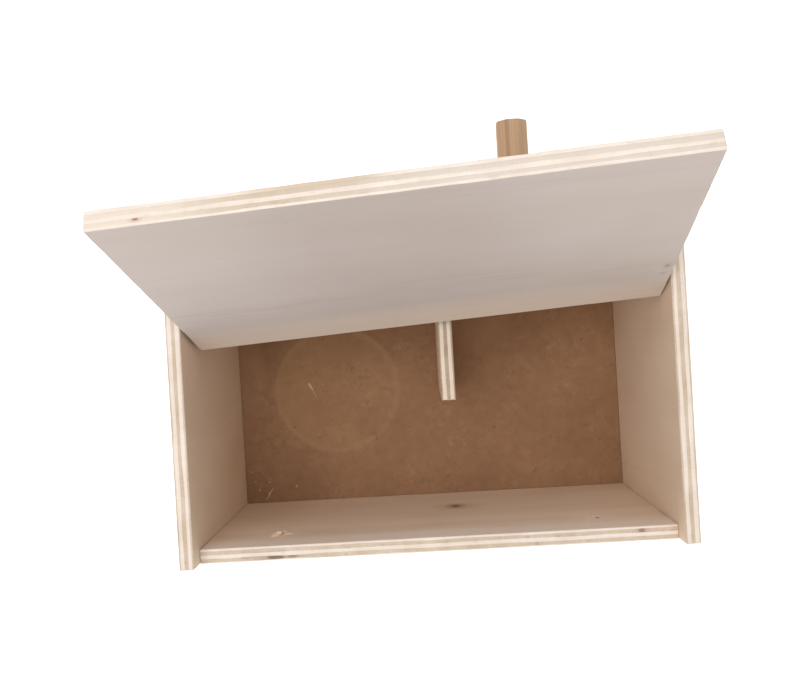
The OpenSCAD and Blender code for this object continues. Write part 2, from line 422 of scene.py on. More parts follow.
@dataclass(frozen=True)
class FibreboardFinish:
    """Brown pressed fibreboard, mottled, with a routed hollow of a slightly different tone that is laid on
    more strongly towards one side as painted light.
    """

    name: str
    pale: Colour
    deep: Colour
    hollow: Colour
    rim: Colour
    fleck: Colour
    hollow_place: Triple
    hollow_radius: float
    marks: tuple[Mark, ...] = ()

    def material(self) -> bpy.types.Material:
        """Builds the fibreboard's material.

        Returns:
            The material.
        """
        s = Shader(self.name)
        spot = s.attribute(SPOT)
        clouds = s.noise(s.scaled(spot, (26, 26, 26)), 1.0, 3.0)
        tufts = s.noise(s.swirl(s.scaled(spot, (150, 150, 150)), 1.4, 1.3), 1.0, 4.0, 0.6)
        felt = s.noise(s.scaled(spot, (1300, 1300, 1300)), 1.0, 3.0, 0.65)
        tone = clouds * 0.38 + tufts * 0.38 + felt * 0.24
        colour = s.mix(tone.between(0.1, 0.9), self.deep, self.pale)
        away = s.scaled(s.moved(spot, tuple(-value for value in self.hollow_place)), (1, 1, 0))
        span = (s.reach(away) + (tufts - 0.5) * (1.6 * MM)) / self.hollow_radius
        across = (s.part(away, "Y") * 0.45 - s.part(away, "X") * 0.8) / self.hollow_radius
        # The hollow's own lighter tone, laid on more strongly towards the side that the light leaves
        # darker: partly the hollow's tone and partly painted light, not wear.
        worn = span.between(1.02, 0.96) * (0.24 - across.between(-1.0, 1.0) * 0.2)
        colour = s.mix(worn, colour, self.hollow)
        ring = (span - 0.95).size().between(0.08, 0.01) * (0.3 + tufts * 0.7)
        colour = s.mix(ring * 0.16, colour, self.rim)
        patches = s.noise(s.scaled(spot, (50, 50, 50)), 1.0, 2.0)
        for step, shade, share in (((0, 0, 0), self.rim, 0.14), ((0.3, 0.1, 0), self.fleck, 0.18)):
            bits = s.swirl(s.scaled(s.moved(spot, step), (85, 85, 85)), 1.6, 1.1)
            curls = (s.noise(bits, 1.0, 2.0, 0.5) - 0.5).size().between(0.06, 0.015)
            breaks = s.noise(s.scaled(s.moved(spot, step), (240, 240, 240)), 1.0, 1.0).between(0.5, 0.6)
            colour = s.mix(curls * breaks * patches.between(0.4, 0.58) * share, colour, shade)
        dots = s.cells(s.swirl(spot, 300.0, 3 * MM), 120.0)
        colour = s.mix(dots.between(0.2, 0.04) * patches.between(0.48, 0.6) * 0.4, colour, self.fleck)
        colour = with_marks(s, colour, self.marks)
        height = felt * 0.7 + tufts * 0.3
        return s.finish(colour, 0.7 + felt * 0.15, height, 0.12 * MM, 0.5, IOR=1.42)


@dataclass(frozen=True)
class HardwoodFinish:
    """Planed brown hardwood with fine straight grain."""

    name: str
    pale: Colour
    deep: Colour
    line: Colour
    marks: tuple[Mark, ...] = ()

    def material(self) -> bpy.types.Material:
        """Builds the hardwood's material.

        Returns:
            The material.
        """
        s = Shader(self.name)
        fibre = s.attribute(FIBRE)
        bands = s.noise(s.scaled(fibre, (6, 190, 190)), 1.0, 3.0)
        streaks = s.noise(s.scaled(fibre, (22, 1100, 1100)), 1.0, 4.0, 0.6)
        pores = s.noise(s.scaled(fibre, (260, 4200, 4200)), 1.0, 1.0)
        tone = bands * 0.55 + streaks * 0.45
        colour = s.mix(tone.between(0.35, 0.68), self.pale, self.deep)
        colour = s.mix(pores.between(0.62, 0.76) * 0.4, colour, self.line)
        colour = with_marks(s, colour, self.marks)
        height = streaks * 0.6 - pores.between(0.6, 0.78) * 0.6
        return s.finish(colour, 0.5 + streaks * 0.2, height, 0.15 * MM, 0.5, IOR=1.47)


@dataclass(frozen=True)
class SteelFinish:
    """Zinc-plated or bright steel, with fine scratches and dull patches."""

    name: str
    pale: Colour
    deep: Colour
    rough: float

    def material(self) -> bpy.types.Material:
        """Builds the steel's material.

        Returns:
            The material.
        """
        s = Shader(self.name)
        place = s.node("ShaderNodeTexCoord", {}, {}, "Object")
        clouds = s.noise(s.scaled(place, (420, 420, 420)), 1.0, 3.0)
        flakes = s.cells(place, 900.0)
        lines = s.noise(s.scaled(place, (400, 400, 9000)), 1.0, 2.0)
        colour = s.mix((clouds * 0.6 + flakes * 0.4).between(0.3, 0.75), self.pale, self.deep)
        rough = self.rough + clouds * 0.18
        return s.finish(colour, rough, lines, 0.03 * MM, 0.3, Metallic=1.0)


# Meshes ---------------------------------------------------------------------------------------------------


@dataclass
class Shell:
    """Gathers the points and faces of one closed mesh, with the vectors that its finishes read."""

    points: list[Triple] = field(default_factory=list)
    faces: list[tuple[int, ...]] = field(default_factory=list)
    slots: list[int] = field(default_factory=list)
    fibres: list[Triple] = field(default_factory=list)

    def add(self, points: Sequence[Sequence[float]]) -> list[int]:
        """Adds points.

        Args:
            points: Their places.

        Returns:
            Their numbers.
        """
        start = len(self.points)
        self.points.extend(tuple(float(value) for value in point) for point in points)
        return list(range(start, len(self.points)))

    def face(self, corners: Sequence[int], slot: int, fibre: FibreOf) -> None:
        """Adds one face.

        Args:
            corners: Numbers of its points.
            slot: Its material slot.
            fibre: Turns a point into a place along, across and through the grain.
        """
        self.faces.append(tuple(corners))
        self.slots.append(slot)
        self.fibres.extend(fibre(self.points[corner]) for corner in corners)

    def band(self, low: Sequence[int], high: Sequence[int], slot_of: Callable[[int], int],
             fibre: FibreOf) -> None:
        """Joins two closed rings with a row of faces.

        Args:
            low: Numbers of the lower ring's points.
            high: Numbers of the upper ring's points.
            slot_of: Says the material slot of each face in the row.
            fibre: Turns a point into a place along, across and through the grain.
        """
        count = len(low)
        for i in range(count):
            j = (i + 1) % count
            self.face((low[i], low[j], high[j], high[i]), slot_of(i), fibre)

    def skewer(self, rings: Sequence[Sequence[int]], fibre: FibreOf) -> None:
        """Joins a row of rings into one closed piece with flat ends, all in slot 0.

        Args:
            rings: Numbers of each ring's points, from one end to the other.
            fibre: Turns a point into a place along, across and through the grain.
        """
        for low, high in zip(rings, rings[1:]):
            self.band(low, high, lambda i: 0, fibre)
        self.face(rings[0][::-1], 0, fibre)
        self.face(rings[-1], 0, fibre)

    def build(self, name: str, place: Matrix, materials: Sequence[bpy.types.Material],
              sharp: float = 32.0) -> bpy.types.Object:
        """Makes the object.

        Args:
            name: The object's name.
            place: Where its own system lies in the row frame.
            materials: Its materials, one per slot.
            sharp: Edges sharper than this many degrees stay crisp.

        Returns:
            The new object.
        """
        mesh = bpy.data.meshes.new(name)
        mesh.from_pydata([place @ Vector(point) for point in self.points], [], self.faces)
        for material in materials:
            mesh.materials.append(material)
        mesh.polygons.foreach_set("material_index", self.slots)
        mesh.polygons.foreach_set("use_smooth", [True] * len(self.faces))
        spots = [self.points[corner] for face in self.faces for corner in face]
        for attribute, values in ((FIBRE, self.fibres), (SPOT, spots)):
            layer = mesh.attributes.new(attribute, "FLOAT_VECTOR", "CORNER")
            layer.data.foreach_set("vector", np.asarray(values, dtype=np.float32).ravel())
        mesh.update()
        mesh.set_sharp_from_angle(angle=math.radians(sharp))
        made = bpy.data.objects.new(name, mesh)
        bpy.context.scene.collection.objects.link(made)
        return made


def wander(rng: np.random.Generator, count: int, steps: int, amount: float) -> np.ndarray:
    """A closed, smooth random line.

    Args:
        rng: Seeded source.
        count: Number of values.
        steps: Number of random marks that it passes.
        amount: Largest value, from 0.

    Returns:
        The values.
    """
    marks = rng.random(steps)
    places = np.arange(count) / count * steps
    low = places.astype(int) % steps
    share = places - places.astype(int)
    share = share * share * (3 - 2 * share)
    return amount * (marks[low] * (1 - share) + marks[(low + 1) % steps] * share)


class Grain(Enum):
    """The way that a board's face veneers run."""

    ALONG = (0, 1, 2)
    UP = (1, 0, 2)

    def crossed(self) -> "Grain":
        """The other way."""
        return Grain.UP if self is Grain.ALONG else Grain.ALONG


@dataclass(frozen=True)
class Hole:
    """A round hole through a board, or a recess of some depth in its low or high face."""

    centre: Point
    radius: float
    depth: float | None = None
    in_high_face: bool = False
    count: int = 24


@dataclass
class Board:
    """A board of one or more plies, with sawn edges, worn arrises and round holes."""

    name: str
    size: Triple
    place: Matrix
    grain: Grain
    materials: Sequence[bpy.types.Material]
    shares: tuple[float, ...] = (0.11, 0.26, 0.26, 0.26, 0.11)
    holes: Sequence[Hole] = ()
    seed: int = 1
    station: float = 2.0 * MM
    arris: float = 0.28 * MM
    chip: float = 0.45 * MM
    groove: float = 0.1 * MM
    rough: float = 0.09 * MM
    waver: float = 0.44 * MM
    thin_ply: float = 0.6 * MM
    corner: float = 0.6 * MM
    face_step: float = 14.0 * MM
    high_face: Callable[[float, float], float] | None = None
    rings: Sequence[tuple[Point, float, int]] = ()

    def __post_init__(self) -> None:
        """Prepares the ply borders and the random source."""
        self.rng = np.random.default_rng(self.seed)
        self.borders = [self.size[2] * sum(self.shares[:i]) for i in range(len(self.shares) + 1)]
        self.shifts = self.rng.uniform(0, PLY_SHIFT, (len(self.shares), 3))
        self.shell = Shell()

    def ply_grain(self, ply: int) -> Grain:
        """The grain of one ply."""
        return self.grain if ply % 2 == 0 else self.grain.crossed()

    def fibre(self, ply: int) -> FibreOf:
        """Makes the function that turns a point into a place in a ply's grain.

        Args:
            ply: The ply's number, from the low face.

        Returns:
            The function.
        """
        order = self.ply_grain(ply).value
        shift = self.shifts[ply]
        return lambda point: tuple(point[order[i]] + shift[i] for i in range(3))

    def outline(self) -> tuple[np.ndarray, np.ndarray]:
        """The board's outline, anticlockwise.

        Returns:
            Its points and the outward direction at each.
        """
        length, width, _ = self.size
        r = self.corner
        corners = [((length - r, r), -90), ((length - r, width - r), 0),
                   ((r, width - r), 90), ((r, r), 180)]
        points, ways = [], []
        for k, (centre, start) in enumerate(corners):
            for turn in (0, 30, 60, 90):
                angle = math.radians(start + turn)
                way = (math.cos(angle), math.sin(angle))
                points.append((centre[0] + r * way[0], centre[1] + r * way[1]))
                ways.append(way)
            after = corners[(k + 1) % 4]
            angle = math.radians(after[1])
            target = (after[0][0] + r * math.cos(angle), after[0][1] + r * math.sin(angle))
            span = math.dist(points[-1], target)
            steps = max(2, round(span / self.station))
            origin, way = points[-1], ways[-1]
            for i in range(1, steps):
                share = i / steps
                points.append(tuple(origin[a] + (target[a] - origin[a]) * share for a in (0, 1)))
                ways.append(way)
        return np.array(points), np.array(ways)

    def rows(self) -> list[Triple]:
        """The rows of the sawn edge.

        Returns:
            Each row's height, its share of the arris and its share of the groove.
        """
        thick, last = self.size[2], len(self.shares) - 1
        rows = [(0.0, 1.0, 0.0), (self.arris, 0.0, 0.0)]
        for k, (low, high) in enumerate(zip(self.borders, self.borders[1:])):
            lowest = self.arris * 1.5 if k == 0 else 0.0
            highest = thick - self.arris * 1.5 if k == last else thick
            low_in = max(low + self.arris * 0.6, lowest)
            high_in = min(high - self.arris * 0.6, highest)
            if high_in - low_in > self.thin_ply:
                for share in (0.0, 0.34, 0.67, 1.0):
                    rows.append((low_in + (high_in - low_in) * share, 0.0, 0.0))
            elif high_in > low_in:
                rows.append(((low_in + high_in) / 2, 0.0, 0.0))
            if k < last:
                rows.append((high, 0.0, 1.0))
        rows += [(thick - self.arris, 0.0, 0.0), (thick, 1.0, 0.0)]
        return sorted(rows)

    def ply_at(self, height: float) -> int:
        """The ply at a height through the board."""
        return sum(height > border for border in self.borders[1:-1])

    def slot_of(self, ply: int, way: Sequence[float]) -> int:
        """The slot of a sawn ply: 1 along its fibres and 2 across their ends."""
        bound = 0.7 + 0.16 * math.sin(2.4 * ply + 3.0 * way[0] - 2.0 * way[1])
        return 2 if abs(way[self.ply_grain(ply).value[0]]) > bound else 1

    def edge(self, outline: np.ndarray, ways: np.ndarray, outward: float) -> tuple[list[int], list[int]]:
        """Builds the sawn edge along an outline.

        Args:
            outline: Its points.
            ways: Directions away from the wood.
            outward: 1 on the outer edge and -1 round a hole.

        Returns:
            The numbers of the lowest and the highest ring.
        """
        count, thick = len(outline), self.size[2]
        steps = max(6, count // 9)
        waver = [wander(self.rng, count, steps, self.waver) - self.waver / 2 for _ in self.borders]
        worn = [wander(self.rng, count, max(8, count // 4), 1.0) ** 3 * self.chip for _ in (0, 1)]
        rings, heights = [], []
        for height, arris, groove in self.rows():
            ply = self.ply_at(height)
            grit = self.rng.random(count) * self.rough
            smooth = wander(self.rng, count, max(8, count // 5), self.rough * 0.6)
            ends = np.array([self.slot_of(ply, way) == 2 for way in ways])
            from_face = min(height, thick - height)
            near = math.exp(-from_face / FACE_WEAR)
            side = 0 if height < thick / 2 else 1
            inset = np.where(ends, grit, smooth) * (1 - arris) + arris * self.arris
            inset = np.minimum(inset + worn[side] * near + groove * self.groove, self.corner * 0.85)
            nearest = min(range(len(self.borders)), key=lambda b: abs(self.borders[b] - height))
            lift = waver[nearest] * (0.0 if from_face < FACE_WEAR else 1.0)
            spread = outline - ways * inset[:, None]
            rings.append(self.shell.add(np.column_stack([spread, height + lift])))
            heights.append(height)
        for low, high, low_height, high_height in zip(rings, rings[1:], heights, heights[1:]):
            ply = self.ply_at((low_height + high_height) / 2)
            pair = (low, high) if outward > 0 else (high, low)
            self.shell.band(*pair, lambda i: self.slot_of(ply, ways[i]), self.fibre(ply))
        return rings[0], rings[-1]

    @staticmethod
    def circle(centre: Point, radius: float, count: int) -> tuple[np.ndarray, np.ndarray]:
        """A circle.

        Args:
            centre: Its middle.
            radius: Its radius.
            count: How many points it has.

        Returns:
            The points, with the directions towards its middle.
        """
        turns = np.arange(count) * math.tau / count
        spokes = np.column_stack([np.cos(turns), np.sin(turns)])
        return np.array(centre) + spokes * radius, -spokes

    def recess(self, hole: Hole) -> list[int]:
        """Builds a recess.

        Args:
            hole: The recess.

        Returns:
            The numbers of its ring on the board's face.
        """
        high = hole.in_high_face
        top = self.size[2] if high else 0.0
        floor = top - hole.depth if high else hole.depth
        ply = len(self.shares) - 1 if high else 0
        outline, _ = self.circle(hole.centre, hole.radius, hole.count)
        rim = self.shell.add([(u, v, top) for u, v in outline])
        foot = self.shell.add([(u, v, floor) for u, v in outline])
        pair = (rim, foot) if high else (foot, rim)
        self.shell.band(*pair, lambda i: 2, self.fibre(ply))
        self.shell.face(foot if high else foot[::-1], 2, self.fibre(ply))
        return rim

    def skin(self, rings: list[list[int]], high: bool) -> None:
        """Fills one face between its outer ring and the rings of its holes.

        Args:
            rings: The numbers of each ring's points, the outer ring first.
            high: True for the high face and False for the low one.
        """
        shell = self.shell
        spots, numbers, edges = [], [], []
        for ring in rings:
            start = len(spots)
            spots += [Vector(shell.points[i][:2]) for i in ring]
            numbers += ring
            edges += [(start + i, start + (i + 1) % len(ring)) for i in range(len(ring))]
        outer, *holes = [np.array([shell.points[i][:2] for i in ring]) for ring in rings]
        loose = self.loose_spots(holes, high)
        lift = self.high_face if high and self.high_face else (lambda u, v: 0.0)
        height = self.size[2] if high else 0.0
        numbers += shell.add([(u, v, height + lift(u, v)) for u, v in loose])
        spots += [Vector(spot) for spot in loose]
        _, _, triangles, origins, _, _ = delaunay_2d_cdt(spots, edges, [], 0, 1e-9)
        corners = np.array([[origins[i][0] for i in triangle] for triangle in triangles])
        middles = np.array([tuple(spot) for spot in spots])[corners].mean(axis=1)
        kept = inside_of(outer, middles)
        for hole in holes:
            kept &= ~inside_of(hole, middles)
        fibre = self.fibre(len(self.shares) - 1 if high else 0)
        for triangle in corners[kept]:
            order = triangle if high else triangle[::-1]
            shell.face([numbers[i] for i in order], 0, fibre)

    def loose_spots(self, holes: Sequence[np.ndarray], high: bool) -> list[Point]:
        """The spots inside a face that its skin passes through.

        Args:
            holes: The rings of its holes.
            high: True for the high face and False for the low one.

        Returns:
            The points of the board's own rings, and a grid that keeps clear of them and of the holes.
        """
        found = []
        for centre, radius, count in (self.rings if high else ()):
            found += [tuple(spot) for spot in self.circle(centre, radius, count)[0]]
        rims = [(hole, 0.2) for hole in holes]
        if found:
            rims.append((np.array(found), 0.3))
        length, width, _ = self.size
        columns, lines = max(2, round(length / self.face_step)), max(2, round(width / self.face_step))
        for i in range(1, columns):
            for j in range(1, lines):
                spot = np.array([length * i / columns, width * j / lines])
                close = any(np.hypot(*(rim - spot).T).min() < self.face_step * share for rim, share in rims)
                if not (close or any(inside_of(hole, spot[None])[0] for hole in holes)):
                    found.append(tuple(spot))
        return found

    def build(self) -> bpy.types.Object:
        """Builds the whole board.

        Returns:
            Its object.
        """
        low, high = self.edge(*self.outline(), 1)
        low_rings, high_rings = [low], [high]
        for hole in self.holes:
            if hole.depth is None:
                low, high = self.edge(*self.circle(hole.centre, hole.radius, hole.count), -1)
                low_rings.append(low)
                high_rings.append(high)
            else:
                (high_rings if hole.in_high_face else low_rings).append(self.recess(hole))
        self.skin(low_rings, False)
        self.skin(high_rings, True)
        return self.shell.build(self.name, self.place, self.materials)


def inside_of(ring: np.ndarray, spots: np.ndarray) -> np.ndarray:
    """Says which spots lie inside a closed ring.

    Args:
        ring: The ring's points.
        spots: Points to test.

    Returns:
        True for each spot inside.
    """
    a, b = ring, np.roll(ring, -1, axis=0)
    x, y = spots[:, :1], spots[:, 1:]
    spans = (a[:, 1] > y) != (b[:, 1] > y)
    rise = np.where(b[:, 1] == a[:, 1], 1.0, b[:, 1] - a[:, 1])
    crossing = x < (b[:, 0] - a[:, 0]) * (y - a[:, 1]) / rise + a[:, 0]
    return (spans & crossing).sum(axis=1) % 2 == 1


def turned(shell: Shell, profile: Sequence[Point], place: Matrix, count: int,
           dent: Callable[[float, float], float] | None = None) -> None:
    """Adds a closed round piece to a shell.

    Args:
        shell: The shell that takes it.
        profile: Radius and height of each ring, from one end of its axis to the other.
        place: Where its own system lies in the row frame, with its axis along +Z.
        count: Points round each ring.
        dent: Depth of a shape pressed into its low end, from x and y, towards +Z.
    """
    rings = []
    for radius, height in profile:
        ring = []
        for i in range(count):
            turn = math.tau * i / count
            x, y = radius * math.cos(turn), radius * math.sin(turn)
            drop = dent(x, y) if dent and height <= 0 else 0.0
            ring.append(place @ Vector((x, y, height + drop)))
        rings.append(shell.add(ring))
    shell.skewer(rings, tuple)


def aimed(start: Vector, way: Vector) -> Matrix:
    """A place whose +Z axis runs along a direction."""
    return Matrix.Translation(start) @ way.to_track_quat("Z", "Y").to_matrix().to_4x4()


def driven(low: Vector, high: Vector, way: Vector) -> tuple[Vector, Vector]:
    """Lays a nail or a screw in a box, as the middle of its head and the way from there to its point."""
    run = way * abs((high - low).dot(way))
    return (low + high) / 2 - run / 2, run


class Stand(Enum):
    """How a board stands: the row-frame directions of its length, width and thickness."""

    SIDE = ((0, 1, 0), (0, 0, 1), (1, 0, 0))
    END = ((1, 0, 0), (0, 0, 1), (0, -1, 0))
    FLAT = ((1, 0, 0), (0, 1, 0), (0, 0, 1))

    def lay(self, low: Vector, high: Vector) -> tuple[Triple, Matrix]:
        """Fits a board's own system to a box.

        Args:
            low: The box's lowest corner.
            high: Its highest corner.

        Returns:
            The board's size and its place.
        """
        ways = [Vector(way) for way in self.value]
        span = Vector(high) - Vector(low)
        size = tuple(abs(span.dot(way)) for way in ways)
        origin = Vector([low[a] if sum(way[a] for way in ways) > 0 else high[a] for a in range(3)])
        place = Matrix([[*(way[a] for way in ways), origin[a]] for a in range(3)] + [[0, 0, 0, 1]])
        return size, place


@dataclass
class Kit:
    """The loaded frame, and what every sub-assembly needs from it."""

    frame: dict

    def box(self, node: str) -> tuple[Vector, Vector]:
        """A CAD node's lowest and highest corner."""
        low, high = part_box(node)
        return Vector(low), Vector(high)

    def joint(self, name: str) -> dict:
        """The record's joint of this name."""
        return next(entry for entry in self.frame["record"]["behaviour"]["joints"] if entry["name"] == name)

    def islands(self, node: str) -> list[tuple[Vector, Vector]]:
        """Boxes of a CAD node's separate solids.

        Args:
            node: The node's name.

        Returns:
            The lowest and highest corner of each solid, in order along X, Y and Z.
        """
        mesh = self.frame["nodes"][node].data
        spots = np.zeros(len(mesh.vertices) * 3)
        mesh.vertices.foreach_get("co", spots)
        spots = spots.reshape(-1, 3)
        _, joined = np.unique(np.round(spots / SAME_POINT), axis=0, return_inverse=True)
        joined = joined.ravel()
        group = np.arange(joined.max() + 1)
        pairs = np.array([[joined[corner] for corner in edge.vertices] for edge in mesh.edges])
        while True:
            lowest = group.copy()
            np.minimum.at(lowest, pairs[:, 0], group[pairs[:, 1]])
            np.minimum.at(lowest, pairs[:, 1], group[pairs[:, 0]])
            lowest = lowest[lowest]
            if np.array_equal(lowest, group):
                break
            group = lowest
        found = []
        for label in np.unique(group):
            own = spots[group[joined] == label]
            found.append((Vector(own.min(axis=0)), Vector(own.max(axis=0))))
        return sorted(found, key=lambda pair: tuple(pair[0]))

    def keep(self, made: bpy.types.Object, body: str, slot: str, *nodes: str) -> bpy.types.Object:
        """Lets a new piece ride on a body and stand for CAD nodes.

        Args:
            made: The piece.
            body: The body's name.
            slot: The slot's name; not used.
            *nodes: The CAD nodes that it stands for.

        Returns:
            The piece.
        """
        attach(made, body)
        if nodes:
            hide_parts(*nodes)
        LOG.info("%s: %d faces on %s", made.name, len(made.data.polygons), body)
        return made


# Sub-assemblies -------------------------------------------------------------------------------------------


@dataclass(frozen=True)
class Timber:
    """The finishes of one plywood board."""

    face: VeneerFinish
    along: SawnFinish
    ends: SawnFinish

    def materials(self) -> list[bpy.types.Material]:
        """Its materials, in the order of a board's slots."""
        return [self.face.material(), self.along.material(), self.ends.material()]


WALL_FACE = VeneerFinish("wall veneer", srgb(238, 220, 200), srgb(223, 199, 173), srgb(215, 188, 161),
                         srgb(172, 138, 110))
# A darker copy of the wall veneer for the side walls, which is painted shade.
SHADED_SIDE_FACE = VeneerFinish("side wall veneer", srgb(233, 212, 190), srgb(219, 194, 167), srgb(212, 184, 155),
                         srgb(170, 136, 108), stain_share=0.35, figure=0.4, seam_share=0.05)
LID_FACE = VeneerFinish("lid veneer", srgb(209, 198, 192), srgb(195, 181, 173), srgb(192, 178, 162),
                        srgb(156, 139, 125), figure=0.5, seam_share=0.2)
ALONG = SawnFinish("sawn ply along", srgb(224, 212, 201), srgb(212, 196, 181), srgb(196, 174, 152), False)
ENDS = SawnFinish("sawn ply ends", srgb(203, 187, 168), srgb(181, 160, 137), srgb(128, 104, 82), True)
INNER_ALONG = SawnFinish("inner ply along", srgb(216, 200, 183), srgb(202, 183, 163),
                         srgb(180, 156, 132), False)
INNER_ENDS = SawnFinish("inner ply ends", srgb(174, 156, 138), srgb(154, 134, 113), srgb(112, 90, 70), True)
LID_ALONG = SawnFinish("lid ply along", srgb(226, 214, 203), srgb(213, 198, 184),
                       srgb(192, 171, 149), False)
LID_ENDS = SawnFinish("lid ply ends", srgb(196, 180, 161), srgb(183, 164, 143), srgb(158, 135, 111), True)
TORN = SawnFinish("torn veneer", srgb(216, 191, 169), srgb(196, 169, 145), srgb(176, 148, 122), False)
DUST = SawnFinish("wood dust", srgb(192, 162, 130), srgb(168, 136, 104), srgb(140, 110, 82), False)
FIBREBOARD = {
    "pale": srgb(152, 113, 80),
    "deep": srgb(116, 82, 56),
    "hollow": srgb(168, 132, 90),
    "rim": srgb(170, 140, 106),
    "fleck": srgb(84, 60, 42),
}
HARDWOOD = HardwoodFinish("perch hardwood", srgb(180, 150, 118), srgb(164, 132, 99), srgb(122, 88, 60),
                          (Mark((3.4, 8.6, 40), (1.5, 3, BROAD), 0.62, srgb(142, 104, 70), 0.05),))
NAIL_STEEL = SteelFinish("nail steel", srgb(205, 203, 198), srgb(150, 148, 143), 0.32)
ZINC = SteelFinish("zinc plate", srgb(214, 214, 210), srgb(164, 166, 166), 0.28)


@dataclass(frozen=True)
class Hollow:
    """The floor board with its routed hollow, a part of a ball, read off the CAD floor's own points."""

    size: Triple
    place: Matrix
    centre: Point
    radius: float
    depth: float

    @classmethod
    def of(cls, kit: Kit) -> "Hollow":
        """Measures the hollow.

        Args:
            kit: The loaded frame.

        Returns:
            The hollow.
        """
        size, place = Stand.FLAT.lay(*kit.box("floor_board"))
        own, thick = place.inverted(), size[2]
        mesh = kit.frame["nodes"]["floor_board"].data
        points = np.array([tuple(own @ vertex.co) for vertex in mesh.vertices])
        bowl = points[(points[:, 2] > thick * 0.65) & (points[:, 2] < thick * 0.998)]
        centre = (bowl.min(axis=0) + bowl.max(axis=0))[:2] / 2
        away = np.hypot(*(points[:, :2] - centre).T)
        radius = float(away[np.abs(points[:, 2] - thick) < TOUCH].min())
        deepest = points[(away < radius * 0.9) & (points[:, 2] > thick * 0.1), 2].min()
        return cls(size, place, (float(centre[0]), float(centre[1])), radius, float(thick - deepest))

    def rise(self, u: float, v: float) -> float:
        """How far the board's face rises at a spot.

        Args:
            u: The spot along the board.
            v: The spot across the board.

        Returns:
            Below 0 in the hollow, and 0 outside it.
        """
        away = math.dist((u, v), self.centre)
        if away >= self.radius - 2 * TOUCH:
            return 0.0
        ball = (self.radius * self.radius + self.depth * self.depth) / (2 * self.depth)
        return ball - self.depth - math.sqrt(ball * ball - away * away)

    def point(self, x: float, y: float) -> Vector:
        """A point on the hollow's surface, at a distance from its middle along X and Y."""
        height = self.size[2] - self.depth * (1 - (x * x + y * y) / self.radius ** 2)
        return self.place @ Vector((self.centre[0] + x, self.centre[1] + y, height))


